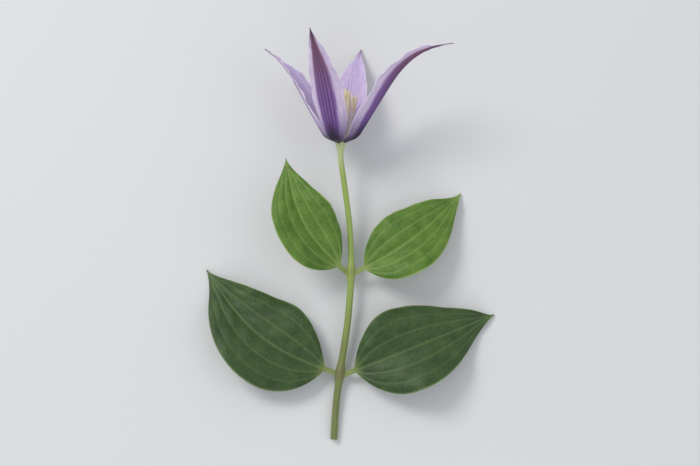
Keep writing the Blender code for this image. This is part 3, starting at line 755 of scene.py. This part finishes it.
def build_stamens(finish):
    """Rings of flat stamens: a strap of a filament, then an anther of two long pollen sacs."""
    foot, axis = flower_frame()[:2]
    steps = np.linspace(0.0, 1.0, STAMEN_STEPS)
    turn_round = np.arange(STAMEN_CORNERS) * 2 * math.pi / STAMEN_CORNERS
    made = []
    for ring, (count, foot_radius, tip_radius, height) in enumerate(STAMEN_RINGS):
        for k in range(count):
            turn = 2 * math.pi * (k + 0.5 * (ring % 2)) / count
            turn = turn + random.uniform(-STAMEN_STRAY, STAMEN_STRAY)
            reach = height * random.uniform(*STAMEN_REACH)
            outward, sideways = directions_at(turn)
            sway = details.uniform(-STAMEN_SWAY, STAMEN_SWAY)
            curl = details.uniform(*STAMEN_CURL)
            radii = foot_radius + (tip_radius - foot_radius) * np.sin(steps * math.pi / 2) ** 1.3
            radii = radii - curl * ease(steps, 0.55, 1.0)
            heights = receptacle_height(foot_radius) - STAMEN_ROOT + (reach + STAMEN_ROOT) * steps
            centres = foot + np.outer(heights, axis) + np.outer(radii, outward)
            centres = centres + np.outer(sway * steps**2, sideways)
            anther = ease(steps, 1 - ANTHER_SHARE - 0.06, 1 - ANTHER_SHARE + 0.04)
            widths = STAMEN_HALF_WIDTH + (ANTHER_HALF_WIDTH - STAMEN_HALF_WIDTH) * anther
            widths = widths * (1.0 + 0.10 * np.sin(math.pi * steps / 0.6) * (steps < 0.6))
            widths = widths * (1 - 0.88 * ease(steps, 0.90, 1.0))
            depths = STAMEN_HALF_THICKNESS * (1 + anther) * (1 - 0.7 * ease(steps, 0.90, 1.0))
            groove = np.exp(-((np.cos(turn_round) / 0.28) ** 2))
            groove = 1 - ANTHER_GROOVE * anther[:, None] * groove
            outline = np.stack([
                widths[:, None] * np.cos(turn_round), depths[:, None] * np.sin(turn_round) * groove
            ], axis=-1)
            tangents = unit(np.gradient(centres, axis=0))
            roll = np.radians(details.uniform(-STAMEN_ROLL, STAMEN_ROLL)) * steps[:, None]
            flat = np.cross(sideways, tangents)
            sides = np.cos(roll) * sideways + np.sin(roll) * flat
            normals = np.cross(sides, tangents)
            name = f"cream_stamen_{len(made) + 1:02d}"
            fields = {"along": steps}
            made.append(swept(name, placed(centres), sides, normals, outline, fields, finish))
    return made


def build_pistils(finish):
    """The slim silky pistils in the middle of the stamens."""
    foot, axis = flower_frame()[:2]
    steps = np.linspace(0.0, 1.0, PISTIL_STEPS)
    turn_round = np.arange(PISTIL_CORNERS) * 2 * math.pi / PISTIL_CORNERS
    places = [(0.0, 0.0)]
    for k in range(PISTIL_RING_COUNT):
        places.append((2 * math.pi * k / PISTIL_RING_COUNT, PISTIL_RING_RADIUS))
    made = []
    for number, (turn, radius) in enumerate(places, start=1):
        outward, sideways = directions_at(turn)
        reach = PISTIL_HEIGHT * random.uniform(*PISTIL_REACH)
        heights = receptacle_height(radius) - PISTIL_ROOT + (reach + PISTIL_ROOT) * steps
        radii = radius * (1.0 + PISTIL_SPLAY * steps**2)
        centres = foot + np.outer(heights, axis) + np.outer(radii, outward)
        centres = centres + np.outer(PISTIL_SWAY * np.sin(steps * 5 + number) * steps, sideways)
        swelling = 1 + PISTIL_SWELLING * np.exp(-((steps - 0.08) / 0.07) ** 2)
        thickness = PISTIL_RADIUS * (1.15 - 0.6 * steps) * swelling
        outline = np.stack([
            np.outer(thickness, np.cos(turn_round)), np.outer(thickness, np.sin(turn_round))
        ], axis=-1)
        tangents = unit(np.gradient(centres, axis=0))
        sides = np.tile(sideways, (PISTIL_STEPS, 1))
        normals = np.cross(sides, tangents)
        made.append(swept(f"silky_pistil_{number}", placed(centres), sides, normals, outline,
                          {"along": steps}, finish))
    return made


def leaf_half_width(t, half_width):
    """Egg-shaped outline, wedge-shaped at the foot and drawn out at the tip, t along the blade."""
    rise, taper = 0.82, 1.36
    widest = rise / (rise + taper)
    t = np.clip(t, 0.0, 1.0)
    return half_width * (t / widest) ** rise * ((1 - t) / (1 - widest)) ** taper


def build_leaf(name, node_at, length, half_width, heading_foot, heading_tip,
               tip_height, arch, roll, fold, wave_start, face, underside):
    """A leaf with arching veins sunk into its face, puffed between them, and a waving edge."""
    line = through(STEM_ROUTE, 400)
    near = np.argmin(np.abs(line[:, 1] - node_at))
    outward = unit(np.cross(unit(line[near + 1] - line[near - 1]), (0.0, 0.0, 1.0)))
    outward = outward * math.copysign(1.0, heading_foot)
    start = line[near] + outward * (STEM_RADIUS + NODE_SWELLING + LEAF_STALK_GAP)
    rows = np.linspace(-LEAF_ROOT / length, 1.0, LEAF_ROWS)
    fine = np.linspace(0.0, 1.0, FINE_STEPS)
    heading = np.radians(heading_foot + (heading_tip - heading_foot) * ease(fine, 0.0, 0.9))
    step = length / (len(fine) - 1)
    path = np.zeros((len(fine), 3))
    path[1:, 0] = np.cumsum(np.sin(heading[:-1]) * step)
    path[1:, 1] = np.cumsum(np.cos(heading[:-1]) * step)
    path[:, 2] = (tip_height - start[2]) * fine**1.5 + arch * np.sin(math.pi * fine**0.85)
    spine = np.column_stack([np.interp(rows, fine, path[:, k]) for k in range(3)])
    into_stem = np.minimum(rows, 0.0)[:, None] * length
    spine = start + spine + into_stem * unit(path[1] * (1.0, 1.0, 0.2))
    spine[:, 2] += LEAF_STALK_LIFT * (1.0 - ease(rows, 0.0, 0.14))
    tangents = unit(np.gradient(spine, axis=0))
    level = unit(np.cross(tangents, (0.0, 0.0, 1.0)))
    raised = np.cross(level, tangents)
    tilt = np.radians(roll) * np.sin(math.pi * np.clip(rows, 0, 1))[:, None]
    across = np.cos(tilt) * level + np.sin(tilt) * raised
    normal = np.cos(tilt) * raised - np.sin(tilt) * level
    blade = leaf_half_width((rows - LEAF_STALK_SHARE) / (1 - LEAF_STALK_SHARE), half_width)
    stalk = LEAF_STALK_HALF_WIDTH * (1.0 - 0.80 * ease(rows, 0.3, 1.0))
    widths = np.sqrt(stalk**2 + blade**2)
    u = np.linspace(-1.0, 1.0, LEAF_COLUMNS)[None, :]
    s = rows[:, None]
    x = widths[:, None] * u
    keel = np.tan(math.radians(fold)) * (np.sqrt(x**2 + MIDRIB_WIDTH**2) - MIDRIB_WIDTH)
    keel = keel * (1.0 - 0.55 * u**2)
    bladed = ease(s, LEAF_STALK_SHARE, 0.2)
    line_width = (VEIN_LINE + VEIN_LINE_FOOT * (1 - s)) / widths[:, None]
    vein = sum(
        strength * np.exp(-(((u - place) / (line_width * (1.0 if place == 0 else 0.75))) ** 2))
        for place, strength in zip(VEIN_PLACES, VEIN_STRENGTHS)
    )
    hollow = sum(
        strength * np.exp(-(((u - place) / PUCKER_HOLLOW) ** 2))
        for place, strength in zip(VEIN_PLACES, VEIN_STRENGTHS)
    )
    fade = bladed * (1 - ease(s, 0.72, 0.97))
    between = 1 - np.minimum(hollow, 1.0)
    pucker = PUCKER_HEIGHT * between * fade * (1 - ease(np.abs(u), 0.8, 1.0))
    ripple = np.sin(2 * math.pi * (RIPPLES * s + RIPPLE_SLANT * np.abs(u)))
    ripple = RIPPLE_HEIGHT * ripple * fade * between
    turns = s / LEAF_WAVE_LENGTH + wave_start + np.where(u > 0, 0.0, LEAF_SIDES_APART)
    wave = LEAF_EDGE_WAVE * half_width * u**2 * np.sin(2 * math.pi * turns)
    wave = wave * ease(s, 0.08, 0.35) * (1.0 - ease(s, 0.85, 1.0))
    side_turn = np.where(u > 0, details.uniform(0, 6), details.uniform(0, 6))
    frill = np.sin(2 * math.pi * details.uniform(*LEAF_FRILLS) * s + side_turn)
    frill = LEAF_FRILL * half_width * np.abs(u) ** 3 * frill
    frill = frill * ease(s, 0.08, 0.3) * (1 - 0.5 * ease(s, 0.8, 1.0))
    lift = (keel + pucker + ripple + wave + frill)[..., None]
    upper = spine[:, None] + x[..., None] * across[:, None] + lift * normal[:, None]
    stalkness = 1.0 - ease(s, LEAF_STALK_SHARE * 0.6, LEAF_STALK_SHARE * 3.0)
    depth = LEAF_THICKNESS * (1 - 0.35 * np.abs(u) ** 2)
    depth = depth + (LEAF_STALK_THICKNESS - LEAF_THICKNESS) * stalkness * np.sqrt(1.02 - u**2)
    depth = depth + MIDRIB_DEPTH * (1 - s) * np.exp(-((x / (MIDRIB_WIDTH * 0.7)) ** 2))
    vein = np.minimum(vein, 1.0)
    depth = depth + VEIN_RIDGE * vein * fade
    normals = grid_normals(upper)
    lower = upper - depth[..., None] * normals
    upper = upper - normals * (VEIN_GROOVE * vein * fade)[..., None]
    fields = {"along": np.clip(s, 0, 1) + 0.0 * u, "across": u + 0.0 * s, "vein": vein}
    skin_map = np.stack([x / MM, (s + 0.0 * u) * length / MM], axis=-1) + details.uniform(0, 90)
    upper, lower = placed(upper), placed(lower)
    upper[..., 2] = np.maximum(upper[..., 2], LEAF_LOWEST_FACE)
    lower[..., 2] = np.maximum(lower[..., 2], LEAF_LOWEST_BACK)
    return sheet(name, upper, lower, fields, skin_map, face, underside)


# ---------------------------------------------------------------- where it lies

def plan_shift():
    """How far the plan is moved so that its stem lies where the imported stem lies."""
    low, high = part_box("stem")
    line = through(STEM_ROUTE, STEM_RINGS)
    tilt = unit(np.gradient(line, axis=0))
    reach = stem_radii(line)[:, None] * np.sqrt(1.0 - tilt**2)
    plan_low, plan_high = (line - reach).min(axis=0), (line + reach).max(axis=0)
    return np.array([(low.x + high.x - plan_low[0] - plan_high[0]) / 2, low.y - plan_low[1], 0.0])


def placed(points):
    """Points of the plan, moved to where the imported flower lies."""
    return points + PLAN_SHIFT


def stands_for(piece, node):
    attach(piece, "root")
    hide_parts(node)


def build_flower():
    """Makes every piece in the place of its plain solid."""
    stands_for(build_stem(stem_skin()), "stem")
    outside, inside = tepal_outside(), tepal_inside()
    for node, *shape in TEPALS:
        name = node.removeprefix("tepal_") + "_tepal"
        stands_for(build_tepal(name, *shape, inside, outside), node)
    stamen_finish = slip_finish(
        "stamen_skin_pollen_dusted", "#FAF6EC", "#F6EAC6", "#E6D3A2", 0.50, 0.66)
    for number, piece in enumerate(build_stamens(stamen_finish), start=1):
        stands_for(piece, f"stamen_{number:02d}")
    pistil_finish = slip_finish(
        "pistil_skin_silky", "#A9B478", "#D9DBB8", "#E8E2C2", 0.15, 0.70)
    for number, piece in enumerate(build_pistils(pistil_finish), start=1):
        stands_for(piece, f"pistil_{number}")
    faces = {
        "young_leaf": (
            leaf_face("young_leaf_skin_face", "#41671E", "#608230", "#8CA456", 0.44, 0.00016),
            leaf_face("young_leaf_skin_back", "#66883F", "#7A9750", "#A0B477", 0.58, 0.00020)),
        "old_leaf": (
            leaf_face("old_leaf_skin_face", "#294120", "#3C562C", "#657A48", 0.45, 0.00016),
            leaf_face("old_leaf_skin_back", "#56704A", "#688055", "#8CA073", 0.56, 0.00020)),
    }
    for node, *shape in LEAVES:
        slot = "young_leaf" if "upper" in node else "old_leaf"
        name = node.removeprefix("leaf_") + "_leaf"
        stands_for(build_leaf(name, *shape, *faces[slot]), node)


# ---------------------------------------------------------------- surface, light and camera

def build_floor():
    """The plain pale surface the flower lies on: matt painted board with a very fine tooth."""
    material, tree = new_finish("pale_matt_board", {"IOR": 1.5})
    place = add(tree, "ShaderNodeNewGeometry", out="Position")
    tooth = add(tree, NOISE, {"Vector": place, "Scale": 900.0, "Detail": 3.0})
    clouds = add(tree, NOISE, {"Vector": place, "Scale": 3.0, "Detail": 2.0})
    colour = add(tree, MIX, {0: clouds, 6: linear("#D3D4D6"), 7: linear("#D8D9DB")}, **COLOUR)
    gloss = add(tree, RANGE, {0: clouds, 1: 0.3, 2: 0.7, 3: 0.72, 4: 0.80})
    bump = add(tree, BUMP, {"Strength": 0.15, "Distance": 0.00005, "Height": tooth})
    finished(material, colour, gloss, bump)
    half = FLOOR_HALF_WIDTH
    corners = [(-half, -half, 0), (half, -half, 0), (half, half, 0), (-half, half, 0)]
    mesh = bpy.data.meshes.new("pale_surface")
    mesh.from_pydata(corners, [], [(0, 1, 2, 3)])
    mesh.materials.append(material)
    floor = bpy.data.objects.new("pale_surface", mesh)
    bpy.context.scene.collection.objects.link(floor)
    floor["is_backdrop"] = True


def aimed(obj, target):
    """Turns a lamp or camera to look at the target, and puts it in the scene."""
    obj.rotation_euler = (Vector(target) - obj.location).to_track_quat("-Z", "Y").to_euler()
    bpy.context.scene.collection.objects.link(obj)
    return obj


def add_softbox(name, place, size, watts, colour, target):
    """A rectangular lamp with an even glow, turned to the target."""
    lamp = bpy.data.lights.new(name, "AREA")
    lamp.shape = "RECTANGLE"
    lamp.size, lamp.size_y = size
    lamp.energy = watts
    lamp.color = linear(colour)[:3]
    softbox = bpy.data.objects.new(name, lamp)
    softbox.location = place
    aimed(softbox, target)


def light_and_shoot():
    """A pale world, three softboxes and a camera that looks down on the flower."""
    low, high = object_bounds()
    middle = (low + high) / 2
    target = Vector((middle.x, middle.y, CAMERA_TARGET_HEIGHT))
    world = bpy.data.worlds.new("pale_studio")
    world.use_nodes = True
    sky = world.node_tree.nodes["Background"]
    sky.inputs["Color"].default_value = linear("#E6E8EC")
    sky.inputs["Strength"].default_value = WORLD_STRENGTH
    bpy.context.scene.world = world
    for softbox in SOFTBOXES:
        add_softbox(*softbox, target)
    lens = bpy.data.cameras.new("studio_camera")
    lens.lens = CAMERA_LENS
    lens.clip_start = 0.01
    lens.dof.use_dof = False
    camera = bpy.data.objects.new("studio_camera", lens)
    elevation = math.radians(CAMERA_ELEVATION)
    away = Vector((0.0, -math.cos(elevation), math.sin(elevation)))
    camera.location = target + CAMERA_DISTANCE * away
    bpy.context.scene.camera = aimed(camera, target)
    bpy.context.scene.view_settings.view_transform = "Standard"


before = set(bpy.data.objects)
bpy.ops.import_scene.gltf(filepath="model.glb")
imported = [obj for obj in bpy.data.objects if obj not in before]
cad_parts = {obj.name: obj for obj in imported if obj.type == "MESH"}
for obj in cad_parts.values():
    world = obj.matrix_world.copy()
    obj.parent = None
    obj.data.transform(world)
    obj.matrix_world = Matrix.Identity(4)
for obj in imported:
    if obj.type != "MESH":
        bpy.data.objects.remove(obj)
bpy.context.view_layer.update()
PLAN_SHIFT = plan_shift()
build_flower()
build_floor()
light_and_shoot()
